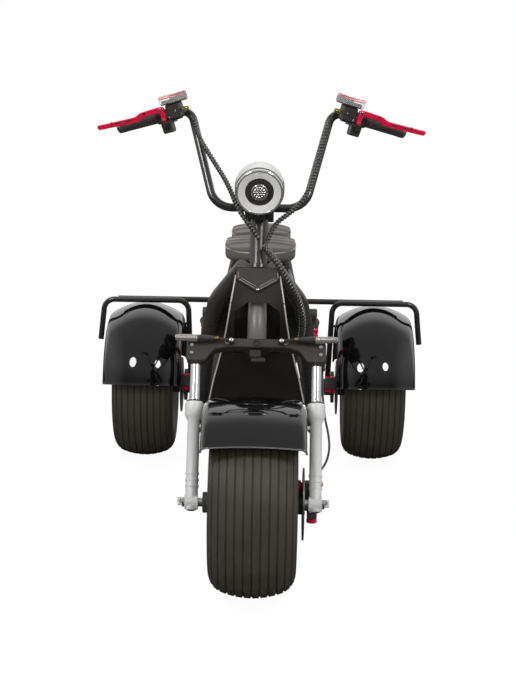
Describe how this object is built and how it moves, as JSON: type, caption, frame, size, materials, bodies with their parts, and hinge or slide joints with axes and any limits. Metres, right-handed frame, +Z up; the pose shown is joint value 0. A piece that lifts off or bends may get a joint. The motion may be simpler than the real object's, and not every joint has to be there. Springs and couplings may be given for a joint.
{
  "type": "three-wheeled electric scooter",
  "caption": "Chopper-style electric scooter with a raked fork, tall handlebar, saddle on a tube frame and wide rear wheels under round fenders.",
  "frame": {"origin": "floor level under the middle of the vehicle's box", "axes": "+Z up, +Y towards the rear, so the front faces -Y, and +X is the rider's left"},
  "size_m": [1.0578, 1.8002, 1.2274],
  "materials": {
    "tyre": "brown-black rubber with grooves",
    "rim": "satin black cast rim",
    "brake_disc": "ground steel",
    "fork_leg": "silver satin casting",
    "fork_tube": "hard chromed tube",
    "steel": "turned steel",
    "clamp": "satin black casting",
    "bar_clamp": "satin black",
    "handlebar": "gloss black tube",
    "grip": "ribbed rubber",
    "grip_cap": "machined aluminium",
    "master_cylinder": "black anodised casting",
    "reservoir": "smoked clear plastic with a red lid",
    "lever": "red anodised",
    "switch": "matt black plastic",
    "bucket": "polished chrome",
    "lens": "clear lens over a dark ring",
    "fender": "gloss black paint",
    "indicator": "smoked lens on a black body",
    "caliper": "red anodised",
    "hose": "black sleeve",
    "frame": "gloss black paint",
    "apron": "gloss black moulding",
    "shield": "dark leather pad",
    "footboard": "black plate",
    "mat": "ribbed rubber",
    "battery": "black sheet case",
    "pan": "black steel",
    "seat": "grey-brown channelled leather",
    "arm": "black box section",
    "axle": "black coated casting",
    "motor": "cast aluminium",
    "shock": "red coils on a chromed rod",
    "tail": "red lens",
    "hoop": "gloss black tube"
  },
  "bodies": {
    "chassis": {"head_tube": "frame", "frame_rails": "frame", "cross_tubes": "frame", "top_tubes": "frame", "apron": "apron", "inner_panel": "apron", "shield_plate": "shield", "footboard": "footboard", "deck_mat": "mat", "battery_case": "battery", "seat_pan": "pan", "front_seat": "seat", "rear_seat": "seat", "rear_arms": "arm", "axle_housing": "axle", "drive_motor": "motor", "shock_bar": "frame", "shock_absorbers": "shock", "rear_calipers": "caliper", "tail_light": "tail", "wiring_loom": "hose", "rear_fenders": "fender", "fender_hoops": "hoop"},
    "steering": {"fork_legs": "fork_leg", "fork_tubes": "fork_tube", "front_axle": "steel", "lower_clamp": "clamp", "steering_stem": "steel", "bar_clamp": "bar_clamp", "handlebar": "handlebar", "grips": "grip", "grip_caps": "grip_cap", "master_cylinders": "master_cylinder", "fluid_reservoirs": "reservoir", "brake_levers": "lever", "switch_boxes": "switch", "headlight_bucket": "bucket", "headlight_lens": "lens", "front_fender": "fender", "front_indicators": "indicator", "front_caliper": "caliper", "left_bar_loom": "hose", "right_bar_loom": "hose", "front_brake_hose": "hose"},
    "front_wheel": {"front_tyre": "tyre", "front_rim": "rim", "front_brake_disc": "brake_disc"},
    "left_wheel": {"left_tyre": "tyre", "left_rim": "rim", "left_brake_disc": "brake_disc"},
    "right_wheel": {"right_tyre": "tyre", "right_rim": "rim", "right_brake_disc": "brake_disc"}
  },
  "joints": [
    {"name": "steering_turn", "type": "hinge", "parent": "chassis", "child": "steering", "pos_m": [0, -0.63053, 0.21584], "axis": [0, 0.454, 0.891], "range_deg": [-35, 35], "deforming": ["wiring_loom"]},
    {"name": "front_wheel_spin", "type": "hinge", "parent": "steering", "child": "front_wheel", "pos_m": [0, -0.66617, 0.234], "axis": [1, 0, 0], "continuous": true},
    {"name": "left_wheel_spin", "type": "hinge", "parent": "chassis", "child": "left_wheel", "pos_m": [0.372, 0.63383, 0.234], "axis": [1, 0, 0], "continuous": true},
    {"name": "right_wheel_spin", "type": "hinge", "parent": "chassis", "child": "right_wheel", "pos_m": [-0.372, 0.63383, 0.234], "axis": [1, 0, 0], "continuous": true}
  ]
}
